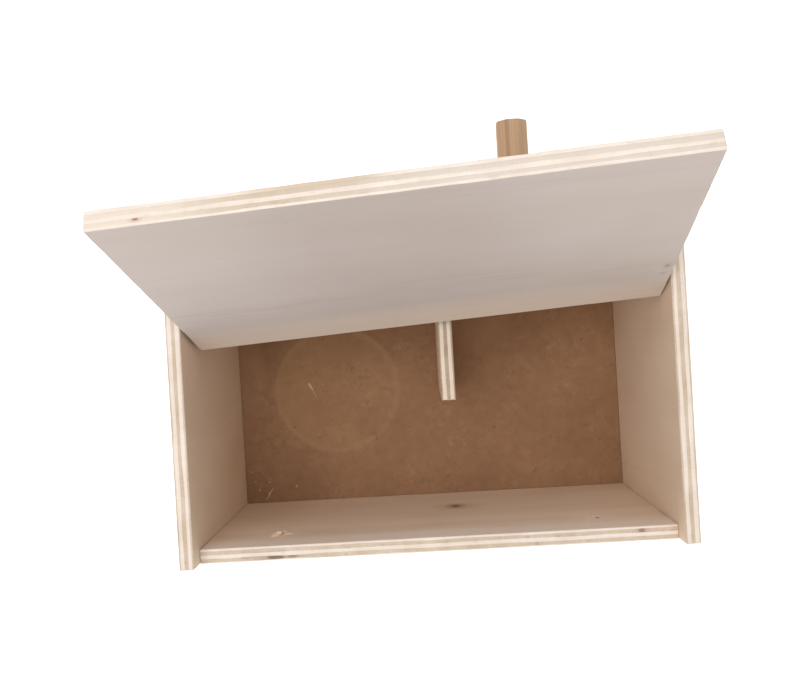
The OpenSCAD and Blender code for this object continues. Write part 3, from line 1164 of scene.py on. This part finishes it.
@dataclass
class Carcass:
    """The four walls, the floor board and the partition."""

    kit: Kit
    recess_gap: float = 0.05 * MM
    screw_bore: float = 1.6 * MM
    entrance_points: int = 144
    floor_seed: int = 71
    floor_chip: float = 0.12 * MM
    hollow_rings: int = 9
    hollow_points: int = 96
    back_shares: tuple[float, ...] = (0.07, 0.25, 0.26, 0.26, 0.16)
    walls: dict[str, tuple[Stand, Grain, int]] = field(default_factory=lambda: {
        "left_wall": (Stand.SIDE, Grain.UP, 11),
        "right_wall": (Stand.SIDE, Grain.UP, 23),
        "back_wall": (Stand.END, Grain.ALONG, 31),
        "front_wall": (Stand.END, Grain.ALONG, 47),
        "partition": (Stand.SIDE, Grain.UP, 59),
    })
    nails: dict[str, tuple[str, ...]] = field(default_factory=lambda: {
        "left_wall": ("left_pivot_nail", "left_front_nails", "left_back_nails", "left_floor_nails"),
        "right_wall": ("right_pivot_nail", "right_front_nails", "right_back_nails", "right_floor_nails"),
        "back_wall": ("back_floor_nails",),
        "front_wall": ("front_floor_nails", "partition_front_nails"),
        "partition": (),
    })

    def build(self) -> None:
        """Builds and dresses every board."""
        for node, (stand, grain, seed) in self.walls.items():
            size, place = stand.lay(*self.kit.box(node))
            holes = self.nail_recesses(node, size, place) + self.bores(node, place)
            slot = "partition_plywood" if node == "partition" else "wall_plywood"
            shares = self.back_shares if node == "back_wall" else Board.shares
            materials = self.timber(node, size).materials()
            board = Board(f"{node}_board", size, place, grain, materials, shares, holes, seed)
            self.kit.keep(board.build(), BOX_BODY, slot, node)
        self.build_floor()

    def timber(self, node: str, size: Triple) -> Timber:
        """The finishes of one wall.

        Args:
            node: The wall's node.
            size: Its board's size.

        Returns:
            The finishes.
        """
        if node == "back_wall":
            return self.back_timber(size)
        if node == "partition":
            return Timber(WALL_FACE, INNER_ALONG, INNER_ENDS)
        # The side walls take the darker copy of the wall veneer, which is painted shade.
        return Timber(WALL_FACE if node == "front_wall" else SHADED_SIDE_FACE, ALONG, ENDS)

    @staticmethod
    def back_timber(size: Triple) -> Timber:
        """The back wall's finishes: a lighter copy of the wall veneer as painted light, with its knots,
        stains and pale patches, and a pale band of painted light along the top of its inner face.

        Args:
            size: Its board's size.

        Returns:
            The finishes.
        """
        _, top, inner = (value / MM for value in size)
        dark, raw = srgb(92, 64, 42), srgb(246, 228, 212)
        # The first patch, a pale band along the top of the inner face, is painted light.
        face = (patch((125, 145, inner), (BROAD, 14, 4), srgb(250, 240, 230), 0.6),
                patch((112.6, 56.5, inner), (7.5, 5.5, 4), srgb(158, 116, 88), 0.2),
                Mark((112.6, 55.5, inner), (3.2, 4, 4), 0.7, srgb(114, 74, 50), 0.4),
                Mark((38, 110.5, inner), (7, 6, 4), 0.5, raw, 0.4),
                Mark((36.8, 112, inner), (1.2, 2.4, 4), 0.7, dark, 0.1),
                Mark((212, 110.5, inner), (8, 6, 4), 0.5, raw, 0.4))
        edge = (Mark((210, top, 1.7), (6, 3, 1.4), 0.8, srgb(104, 84, 62), 0.25),
                Mark((201, top, 1.7), (3.4, 3, 1.1), 0.55, srgb(120, 98, 74), 0.15),
                Mark((19, top, 5.3), (2.2, 3, 1.7), 0.75, srgb(122, 92, 74), 0.3),
                Mark((12, top, 4), (20, 3, 2.2), 0.15, srgb(196, 150, 124), 0.1))
        # The back wall takes a lighter copy of the wall veneer, which is painted light.
        veneer = replace(WALL_FACE, name="back wall veneer", pale=srgb(242, 224, 205),
                         deep=srgb(228, 205, 181), marks=face)
        return Timber(veneer, ALONG, replace(ENDS, name="back wall ply ends", marks=edge))

    def nail_recesses(self, node: str, size: Triple, place: Matrix) -> list[Hole]:
        """Recesses for the heads of the nails that are driven through a wall."""
        driven_here = [name for name in self.kit.frame["nodes"] if name in self.nails[node]]
        return [self.recess(box, size, place) for name in driven_here for box in self.kit.islands(name)]

    def recess(self, box: tuple[Vector, Vector], size: Triple, place: Matrix) -> Hole:
        """The recess of one nail's head in a board.

        Args:
            box: The nail's lowest and highest corner.
            size: The board's size.
            place: The board's place.

        Returns:
            The recess.
        """
        own = place.inverted()
        corners = np.array([own @ box[0], own @ box[1]])
        low, high = corners.min(axis=0), corners.max(axis=0)
        in_high = abs(high[2] - size[2]) < abs(low[2])
        centre = (float(low[0] + high[0]) / 2, float(low[1] + high[1]) / 2)
        radius = (high[1] - low[1]) / 2 + self.recess_gap
        return Hole(centre, radius, 0.5 * radius, in_high)

    def bores(self, node: str, place: Matrix) -> list[Hole]:
        """The round holes that go through a wall.

        Args:
            node: The wall's node.
            place: Its board's place.

        Returns:
            The holes.
        """
        own = place.inverted()
        if node == "front_wall":
            openings = self.kit.frame["record"]["physics"]["openings"]
            opening = next(entry for entry in openings if entry["name"] == "entrance_hole")
            low, high = (Vector(corner) for corner in opening["box_m"])
            middle = own @ ((low + high) / 2)
            perch_low, perch_high = self.kit.box("perch")
            screw = own @ ((perch_low + perch_high) / 2)
            entrance = (middle[0], middle[1])
            return [Hole(entrance, self.entrance_radius(entrance, own), count=self.entrance_points),
                    Hole((screw[0], screw[1]), self.screw_bore)]
        if node == "back_wall":
            spots = [own @ ((low + high) / 2) for low, high in self.kit.islands("hanger_screws")]
            return [Hole((spot[0], spot[1]), self.screw_bore) for spot in spots]
        return []

    def entrance_radius(self, middle: Point, own: Matrix) -> float:
        """The entrance hole's radius: how near the front wall's points come to its middle."""
        points = [own @ vertex.co for vertex in self.kit.frame["nodes"]["front_wall"].data.vertices]
        return min(math.dist(middle, (point[0], point[1])) for point in points)

    def build_floor(self) -> None:
        """Builds the floor board with its routed hollow and its patches of painted light and shade."""
        hollow = Hollow.of(self.kit)
        rings = [(hollow.centre, hollow.radius, self.hollow_points)]
        for k in range(1, self.hollow_rings):
            count = max(12, round(self.hollow_points * k / self.hollow_rings))
            rings.append((hollow.centre, hollow.radius * k / self.hollow_rings, count))
        u, v = (value / MM for value in hollow.centre)
        # The dark first patch is painted shade on one side of the floor; the two pale ones are painted
        # light, lifting the floor beside the partition and beside a side wall where the box shades it.
        marks = (patch((u - 163, v + 33, 0), (29, 13, BROAD), srgb(104, 72, 46), 0.24),
                 patch((u - 94, v - 44, 0), (12, 11, BROAD), srgb(176, 138, 104), 0.3),
                 patch((u + 59, v - 14, 0), (6, 16, BROAD), srgb(176, 138, 104), 0.22))
        finish = FibreboardFinish("floor fibreboard", **FIBREBOARD, hollow_place=(*hollow.centre, 0.0),
                                  hollow_radius=hollow.radius, marks=marks)
        board = Board("floor_board_panel", hollow.size, hollow.place, Grain.ALONG, [finish.material()] * 3,
                      shares=(1.0,), seed=self.floor_seed, groove=0.0, chip=self.floor_chip,
                      high_face=hollow.rise, rings=rings)
        self.kit.keep(board.build(), BOX_BODY, "floor_fibreboard", "floor_board")


@dataclass
class Lid:
    """The lid, which turns on two nails."""

    kit: Kit
    shares: tuple[float, ...] = (0.14, 0.205, 0.21, 0.265, 0.18)
    seed: int = 83

    def shut(self) -> Matrix:
        """Turns the lid from where it rests to its shut place.

        Returns:
            The turn.
        """
        joint = self.kit.joint(HINGE)
        pivot = Vector(joint["pos_m"])
        turn = Matrix.Rotation(math.radians(joint["range_deg"][0]), 4, Vector(joint["axis"]))
        return Matrix.Translation(pivot) @ turn @ Matrix.Translation(-pivot)

    def build(self) -> None:
        """Builds and dresses the lid."""
        shut = self.shut()
        points = np.array([tuple(shut @ v.co) for v in self.kit.frame["nodes"]["lid"].data.vertices])
        size, place = Stand.FLAT.lay(Vector(points.min(axis=0)), Vector(points.max(axis=0)))
        materials = self.timber(size).materials()
        board = Board("lid_board", size, shut.inverted() @ place, Grain.ALONG, materials, self.shares,
                      seed=self.seed)
        self.kit.keep(board.build(), LID_BODY, "lid_plywood", "lid")

    @staticmethod
    def timber(size: Triple) -> Timber:
        """The lid's finishes, with its patches of other tones and of painted light and shade, its small
        marks and its edge's knot.

        Args:
            size: Its board's size.

        Returns:
            The finishes.
        """
        length, free, outer = (value / MM for value in size)
        middle = length / 2
        # The first patch darkens the middle of the inner face as painted shade; the second lightens and
        # warms its tail end as painted light, in place of bounced light.
        face = (patch((middle + 8, 112, 0), (32, 60, 3), srgb(172, 156, 145), 0.32),
                patch((middle, -2, 0), (150, 15, 3), srgb(226, 206, 186), 0.62),
                patch((middle, free / 2, outer), (BROAD, BROAD, 3), srgb(246, 222, 192), 0.4),
                Mark((3.7, 42, 0), (1.5, 1.9, 2), 0.45, srgb(134, 112, 90), 0.2),
                Mark((4.4, 33, 0), (1.6, 1.3, 2), 0.25, srgb(134, 112, 90), 0.1))
        edge = (patch((50, free, 4.5), (56, 9, 9), srgb(218, 212, 207), 0.44),
                patch((length, free, 4.5), (30, 9, 9), srgb(226, 216, 204), 0.55),
                Mark((226, free, 2.7), (1.6, 2, 0.9), 0.8, srgb(150, 104, 84), 0.25))
        stain = patch((153, free, 8.4), (14, 4, 1.3), srgb(194, 174, 150), 0.85)
        return Timber(replace(LID_FACE, marks=face), replace(LID_ALONG, marks=(stain,)),
                      replace(LID_ENDS, marks=edge))


@dataclass
class Perch:
    """The eight-sided perch, with eased arrises and a bevelled far end."""

    kit: Kit
    arris: float = 1.0 * MM
    sections: int = 40
    bevel: float = 0.5 * MM
    wear: float = 0.04 * MM
    end_grit: float = 0.12 * MM
    seed: int = 97

    def build(self) -> None:
        """Builds and dresses the perch."""
        low, high = self.kit.box("perch")
        rng = np.random.default_rng(self.seed)
        middle = (low + high) / 2
        half, length = (high[0] - low[0]) / 2, high[1] - low[1]
        lying = Matrix.Rotation(math.radians(90), 4, "X")
        place = Matrix.Translation((middle[0], high[1], middle[2])) @ lying
        shell = Shell()
        outline = self.outline(half)
        rings = []
        stations = [length * i / self.sections for i in range(self.sections)]
        stations += [length - self.bevel, length]
        for station in stations:
            inset = self.bevel if station == length else 0.0
            wear = rng.random(len(outline)) * self.wear
            shrink = [1 - (inset + worn) / half for worn in wear]
            ring = [(x * share, y * share, station) for (x, y), share in zip(outline, shrink)]
            rings.append(shell.add(ring))
        for near, far in zip(rings, rings[1:]):
            shell.band(near, far, lambda i: 0, self.fibre)
        shell.face(rings[0][::-1], 1, self.fibre)
        last = rings[-1]
        for share in (0.75, 0.5, 0.25):
            ring = [(x * share, y * share, length - rng.random() * self.end_grit) for x, y in outline]
            numbers = shell.add(ring)
            shell.band(last, numbers, lambda i: 1, self.fibre)
            last = numbers
        shell.face(last, 1, self.fibre)
        ends = SawnFinish("perch end", HARDWOOD.pale, HARDWOOD.deep, HARDWOOD.line, True)
        made = shell.build("perch_bar", place, [HARDWOOD.material(), ends.material()], 24.0)
        self.kit.keep(made, BOX_BODY, "perch_wood", "perch")

    def fibre(self, point: Sequence[float]) -> Triple:
        """A point's place along, across and through the grain."""
        return point[2], point[0] + self.seed, point[1]

    def outline(self, half: float) -> list[Point]:
        """An eight-sided outline with eased arrises.

        Args:
            half: Half its width between two flats.

        Returns:
            Three points for each arris.
        """
        reach = half / math.cos(math.pi / 8)
        points = []
        for k in range(8):
            angle = math.pi / 8 + k * math.pi / 4
            corner = Vector((reach * math.cos(angle), reach * math.sin(angle)))
            for turn in (-1, 0, 1):
                way = Vector((-math.sin(angle), math.cos(angle))) * turn * self.arris
                inward = corner.normalized() * (0.42 * self.arris if turn else 0.18 * self.arris)
                points.append(tuple(corner + way - inward))
        return points


@dataclass(frozen=True)
class Nail:
    """The sizes of a nail: its head's radius and thickness, and its shank's radius."""

    head: float
    thick: float
    shank: float


@dataclass
class Fixings:
    """Nails, screws and hanger plates."""

    kit: Kit
    joint_nail: Nail = Nail(1.7 * MM, 0.8 * MM, 0.8 * MM)
    pivot_thick: float = 1.2 * MM
    pivot_shank: float = 1.1 * MM
    nail_points: int = 20
    screw_rise: float = 2.0 * MM
    screw_shank: float = 1.5 * MM
    screw_pitch: float = 1.3 * MM
    screw_points: int = 48
    dome_rings: int = 18
    cross_half: float = 0.42 * MM
    cross_depth: float = 1.1 * MM
    thread_points: int = 16
    plate_ease: float = 0.2 * MM
    nail_ways: dict[str, Vector] = field(default_factory=lambda: {
        "left_front_nails": Vector((1, 0, 0)),
        "left_back_nails": Vector((1, 0, 0)),
        "left_floor_nails": Vector((1, 0, 0)),
        "right_front_nails": Vector((-1, 0, 0)),
        "right_back_nails": Vector((-1, 0, 0)),
        "right_floor_nails": Vector((-1, 0, 0)),
        "front_floor_nails": Vector((0, 1, 0)),
        "back_floor_nails": Vector((0, -1, 0)),
        "partition_front_nails": Vector((0, 1, 0)),
        "partition_floor_nails": Vector((0, 0, 1)),
    })

    def build(self) -> None:
        """Builds and dresses all the fixings."""
        steel, zinc = NAIL_STEEL.material(), ZINC.material()
        for node, way in self.nail_ways.items():
            shell = Shell()
            for low, high in self.kit.islands(node):
                self.nail(shell, *driven(low, high, way), self.joint_nail)
            made = shell.build(node.replace("nails", "nail_set"), Matrix.Identity(4), [steel])
            self.kit.keep(made, BOX_BODY, "nail_steel", node)
        self.pivots(steel)
        self.screws(zinc)
        self.plates(zinc)

    def nail(self, shell: Shell, start: Vector, run: Vector, nail: Nail) -> None:
        """Adds a nail.

        Args:
            shell: The shell that takes it.
            start: The middle of its head's outer face.
            run: The way from there to its point.
            nail: Its sizes.
        """
        head, thick, shank, span = nail.head, nail.thick, nail.shank, run.length
        profile = [(head * 0.3, 0.06 * MM), (head * 0.62, 0.02 * MM), (head * 0.86, 0.0),
                   (head * 0.97, 0.1 * MM), (head, 0.25 * MM), (head * 0.97, thick * 0.75),
                   (shank * 1.3, thick), (shank, thick * 1.5)]
        for k in range(3):
            height = thick * 1.5 + (0.6 + 0.7 * k) * MM
            profile += [(shank, height), (shank * 0.9, height + 0.2 * MM), (shank, height + 0.4 * MM)]
        profile += [(shank, span - 4 * shank), (shank * 0.2, span)]
        turned(shell, profile, aimed(start, run.normalized()), self.nail_points)

    def pivots(self, steel: bpy.types.Material) -> None:
        """Builds the two pivot nails on the hinge's axis.

        Args:
            steel: Their material.
        """
        joint = self.kit.joint(HINGE)
        axis, pivot = Vector(joint["axis"]).normalized(), Vector(joint["pos_m"])
        for side, node in ((-1, "left_pivot_nail"), (1, "right_pivot_nail")):
            low, high = self.kit.box(node)
            outer, inner = (low[0], high[0]) if side < 0 else (high[0], low[0])
            head = (high[2] - low[2]) / 2
            lean = abs(axis[1]) * head
            start = pivot + axis * ((outer - side * lean - pivot[0]) / axis[0])
            end = pivot + axis * ((inner - pivot[0]) / axis[0])
            shell = Shell()
            self.nail(shell, start, end - start, Nail(head, self.pivot_thick, self.pivot_shank))
            made = shell.build(node.replace("nail", "pin"), Matrix.Identity(4), [steel])
            self.kit.keep(made, BOX_BODY, "nail_steel", node)

    def screws(self, zinc: bpy.types.Material) -> None:
        """Builds the hanger screws and the perch screw.

        Args:
            zinc: Their material.
        """
        for node in ("hanger_screws", "perch_screw"):
            shell = Shell()
            for low, high in self.kit.islands(node):
                start, run = driven(low, high, Vector((0, -1, 0)))
                self.screw(shell, start, run, (high[0] - low[0]) / 2)
            made = shell.build(node.replace("screw", "cross_screw"), Matrix.Identity(4), [zinc], 40.0)
            self.kit.keep(made, BOX_BODY, "screw_steel", node)

    def screw(self, shell: Shell, start: Vector, run: Vector, head: float) -> None:
        """Adds a domed screw with a cross recess and a thread.

        Args:
            shell: The shell that takes it.
            start: The top of its dome.
            run: The way from there to its point.
            head: Its head's radius.
        """
        rise, shank, way = self.screw_rise, self.screw_shank, run.normalized()
        place = aimed(start + way * rise, way)
        dome = (head * head + rise * rise) / (2 * rise)
        arm = head * 0.52

        def cross(x: float, y: float) -> float:
            """Depth of the cross recess.

            Args:
                x: A spot along one arm.
                y: The spot along the other arm.

            Returns:
                The depth there.
            """
            off, out = min(abs(x), abs(y)), max(abs(x), abs(y))
            wall = min(1.0, max(0.0, (self.cross_half + 0.12 * MM - off) / (0.24 * MM)))
            end = min(1.0, max(0.0, (arm - out) / (0.4 * MM)))
            return self.cross_depth * wall * end

        profile = []
        for k in range(1, self.dome_rings + 1):
            radius = head * k / self.dome_rings
            profile.append((radius, min(0.0, dome - rise - math.sqrt(dome * dome - radius * radius))))
        profile += [(head * 0.985, 0.02 * MM), (shank * 1.05, 0.03 * MM)]
        turned(shell, profile, place, self.screw_points, cross)
        self.thread(shell, place, run.length - rise)

    def thread(self, shell: Shell, place: Matrix, span: float) -> None:
        """Adds a threaded shank with a point.

        Args:
            shell: The shell that takes it.
            place: Where its own system lies in the row frame, with its axis along +Z.
            span: Its length.
        """
        count, steps = self.thread_points, max(24, round(span / (self.screw_pitch / 6)))
        rings = []
        for k in range(steps + 1):
            height = span * k / steps
            taper = min(1.0, (span - height) / (4 * self.screw_shank) + 0.12)
            ring = []
            for i in range(count):
                phase = (height / self.screw_pitch - i / count) % 1.0
                crest = 1.0 - 0.26 * min(1.0, abs(phase - 0.5) * 4)
                radius = self.screw_shank * crest * taper
                turn = math.tau * i / count
                ring.append(place @ Vector((radius * math.cos(turn), radius * math.sin(turn), height)))
            rings.append(shell.add(ring))
        shell.skewer(rings, tuple)

    def plates(self, zinc: bpy.types.Material) -> None:
        """Eases the edges of the hanger plates and dresses them.

        Args:
            zinc: Their material.
        """
        plate = self.kit.frame["nodes"]["hanger_plates"]
        weld = plate.modifiers.new("weld", "WELD")
        weld.merge_threshold = TOUCH
        bevel = plate.modifiers.new("eased edge", "BEVEL")
        bevel.width, bevel.segments, bevel.limit_method = self.plate_ease, 2, "ANGLE"
        bevel.angle_limit = math.radians(50)
        plate.data.materials.clear()
        plate.data.materials.append(zinc)


@dataclass
class Leavings:
    """Splinters round the screw points, and a shaving and crumbs on the floor, laid out in millimetres.

    The shaving, the twigs and the crumbs are measured from the floor's corner, the scrap from the hollow's
    middle, and the splinters from a screw's point: sideways, out of the wall and up.
    """

    kit: Kit
    shaving: tuple[Point, ...] = (
        (-18.7, -10.3), (-17.1, -8.2), (-15.6, -6.3), (-14.4, -3.9), (-12.5, -1.6))
    twigs: tuple[tuple[Point, ...], ...] = (
        ((-15.9, -7.4), (-14.3, -5.6), (-14.6, -3.2)),
        ((-16.6, -7.6), (-18.3, -7.4), (-20.0, -6.2)),
        ((-2.6, -19.8), (-4.4, -21.2), (-7.8, -21.6)),
        ((-9.8, -10.4), (-9.2, -8.2), (-9.6, -6.6)),
        ((-16.2, -14.9), (-15.4, -12.6)),
        ((-12.8, -59.4), (-15.6, -60.2)),
    )
    crumbs: tuple[Point, ...] = ((-6.5, -14.2), (-8.9, -8.7), (-15.9, -13.7), (-33.8, -10.0), (-4.4, -20.5))
    scrap: tuple[Point, ...] = ((19.4, -5.8), (18.2, -3.6), (16.6, -0.8), (15.2, 2.2), (14.2, 4.4))
    torn: tuple[Blade, ...] = (
        ((4.5, 0.3, -0.6), (-3.9, 1.5, 0.4), 1.2),
        ((4.5, 0.3, 5.6), (-0.4, 0.8, 6.0), 0.9),
        ((-1.5, 0.2, 1.0), (-7.6, 0.5, 1.4), 0.5),
        ((1.6, 1.2, 3.0), (-1.6, 1.4, 3.2), 2.1),
        ((3.0, 0.3, 2.2), (-1.0, 0.9, 2.6), 0.6),
    )
    pricked: tuple[Blade, ...] = (
        ((4.8, 0.2, -1.0), (3.6, 0.5, 0.6), 0.35),
        ((3.4, 0.2, 2.0), (1.8, 0.5, 2.4), 0.35),
        ((2.2, 0.2, -1.5), (0.9, 0.6, -1.0), 0.4),
        ((-1.0, 0.2, 0.5), (-2.4, 0.6, 0.8), 0.45),
    )
    seed: int = 113

    def build(self) -> None:
        """Builds and dresses the leavings."""
        self.splinters(TORN.material())
        self.floor_scraps(DUST.material())

    @staticmethod
    def sliver(shell: Shell, path: Sequence[Vector], across: Vector, width: float, thick: float) -> None:
        """Adds a thin strip of wood that tapers to both ends.

        Args:
            shell: The shell that takes it.
            path: Points along its middle.
            across: The direction of its width.
            width: Its widest.
            thick: Its thickness.
        """
        rings = []
        for i, point in enumerate(path):
            share = math.sin(math.pi * (0.12 + 0.76 * i / (len(path) - 1)))
            along = (path[min(i + 1, len(path) - 1)] - path[max(i - 1, 0)]).normalized()
            out = along.cross(across).normalized()
            half, rise = across * width * share / 2, out * thick / 2
            rings.append(shell.add([point - half, point - rise, point + half, point + rise]))
        shell.skewer(rings, lambda point: (point[0], point[1] + point[2], point[2] - point[1]))

    def splinters(self, wood: bpy.types.Material) -> None:
        """Builds the torn veneer round the screw points on the back wall's inner face.

        Args:
            wood: Its material.
        """
        rng = np.random.default_rng(self.seed)
        shell = Shell()
        for low, high in self.kit.islands("hanger_screws"):
            inner = self.kit.box("back_wall")[0][1]
            tip = Vector(((low[0] + high[0]) / 2, inner, (low[2] + high[2]) / 2))
            for start, end, width in (self.torn if tip[0] > 0 else self.pricked):
                path = []
                for share in (0.0, 0.25, 0.5, 0.75, 1.0):
                    x, lift, z = Vector(start).lerp(Vector(end), share)
                    path.append(tip + Vector((x, 0.1 - lift, z + rng.uniform(-0.15, 0.15))) * MM)
                out = Vector((0, -0.9, rng.uniform(-0.5, 0.2)))
                self.sliver(shell, path, out.normalized(), width * MM, 0.16 * MM)
        made = shell.build("screw_point_splinters", Matrix.Identity(4), [wood])
        self.kit.keep(made, BOX_BODY, "wall_plywood")

    def floor_scraps(self, wood: bpy.types.Material) -> None:
        """Builds a curled shaving and crumbs in the corner, and a scrap of fibre in the hollow.

        Args:
            wood: Their material.
        """
        rng = np.random.default_rng(self.seed + 1)
        _, corner = self.kit.box("floor_board")
        shell = Shell()
        for trail, width in ((self.shaving, 0.8), *((twig, 0.5) for twig in self.twigs)):
            path = [corner + Vector((x, y, 0.12 + 0.25 * (i % 2))) * MM for i, (x, y) in enumerate(trail)]
            self.sliver(shell, path, Vector((0.8, -0.6, 0)), width * MM, 0.24 * MM)
        hollow = Hollow.of(self.kit)
        path = [hollow.point(x * MM, y * MM) + Vector((0, 0, 0.2 * MM)) for x, y in self.scrap]
        self.sliver(shell, path[:3], Vector((0.85, 0.5, 0)), 1.9 * MM, 0.4 * MM)
        self.sliver(shell, path[2:], Vector((0.85, 0.5, 0)), 0.6 * MM, 0.3 * MM)
        for x, y in self.crumbs:
            self.crumb(shell, corner + Vector((x, y, 0.3)) * MM, rng)
        made = shell.build("floor_scraps", Matrix.Identity(4), [wood])
        self.kit.keep(made, BOX_BODY, "wall_plywood")

    @staticmethod
    def crumb(shell: Shell, place: Vector, rng: np.random.Generator) -> None:
        """Adds a small uneven lump of wood dust.

        Args:
            shell: The shell that takes it.
            place: Its middle.
            rng: Seeded source.
        """
        radius = rng.uniform(0.45, 0.85) * MM
        rings = []
        for k in range(1, 4):
            tilt = math.pi * k / 4
            rings.append(shell.add([place + Vector((
                math.sin(tilt) * math.cos(math.tau * i / 7) * rng.uniform(0.7, 1.2),
                math.sin(tilt) * math.sin(math.tau * i / 7) * rng.uniform(0.7, 1.2),
                -0.62 * math.cos(tilt))) * radius for i in range(7)]))
        shell.skewer(rings, tuple)


@dataclass
class Studio:
    """The pale floor, the soft light and the camera."""

    lens: float = 41.625
    sensor: float = 36.0
    camera_place: Triple = (0.93 * MM, -33.23 * MM, 622.0 * MM)
    camera_turn: Triple = (-0.2575, 1.4604, 176.611)
    floor_span: float = 60.0
    floor_tone: float = 0.9
    floor_glow: float = 0.35
    surround: float = 0.61
    light_place: Triple = (0.28, -0.12, 1.6)
    light_aim: Triple = (0.0, 0.0, 0.1)
    light_span: float = 1.2
    light_power: float = 18.9

    def build(self) -> None:
        """Builds the studio."""
        self.floor()
        self.lights()
        self.camera()
        bpy.context.scene.view_settings.view_transform = "Standard"

    def floor(self) -> None:
        """A plain pale floor."""
        half = self.floor_span / 2
        corners = [(-half, -half, 0), (half, -half, 0), (half, half, 0), (-half, half, 0)]
        mesh = bpy.data.meshes.new("studio_floor")
        mesh.from_pydata(corners, [], [(0, 1, 2, 3)])
        floor = bpy.data.objects.new("studio_floor", mesh)
        bpy.context.scene.collection.objects.link(floor)
        glow = {"Emission_Color": (1, 1, 1), "Emission_Strength": self.floor_glow}
        mesh.materials.append(Shader("pale floor").finish((self.floor_tone,) * 3, 0.8, **glow))

    def lights(self) -> None:
        """A pale surround and one large light overhead."""
        world = bpy.data.worlds.new("pale surround")
        bpy.context.scene.world = world
        world.use_nodes = True
        back = world.node_tree.nodes["Background"]
        back.inputs["Color"].default_value = (1.0, 1.0, 1.0, 1.0)
        back.inputs["Strength"].default_value = self.surround
        lamp = bpy.data.lights.new("overhead", "AREA")
        lamp.size, lamp.energy = self.light_span, self.light_power
        made = bpy.data.objects.new("overhead", lamp)
        made.location = self.light_place
        aim = Vector(self.light_aim) - Vector(self.light_place)
        made.rotation_euler = aim.to_track_quat("-Z", "Y").to_euler()
        bpy.context.scene.collection.objects.link(made)

    def camera(self) -> None:
        """A camera that looks almost straight down into the box."""
        data = bpy.data.cameras.new("camera")
        data.lens, data.sensor_width = self.lens, self.sensor
        data.clip_start = 0.01
        made = bpy.data.objects.new("camera", data)
        made.location = self.camera_place
        made.rotation_euler = Euler([math.radians(angle) for angle in self.camera_turn])
        bpy.context.scene.collection.objects.link(made)
        bpy.context.scene.camera = made


def main() -> None:
    """Builds the nest box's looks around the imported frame."""
    logging.basicConfig(level=logging.INFO, format="%(name)s: %(message)s")
    kit = Kit(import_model())
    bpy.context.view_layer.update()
    Studio().build()
    for part in (Carcass(kit), Lid(kit), Perch(kit), Fixings(kit), Leavings(kit)):
        LOG.info("building %s", type(part).__name__)
        part.build()


if __name__ == "__main__":
    main()
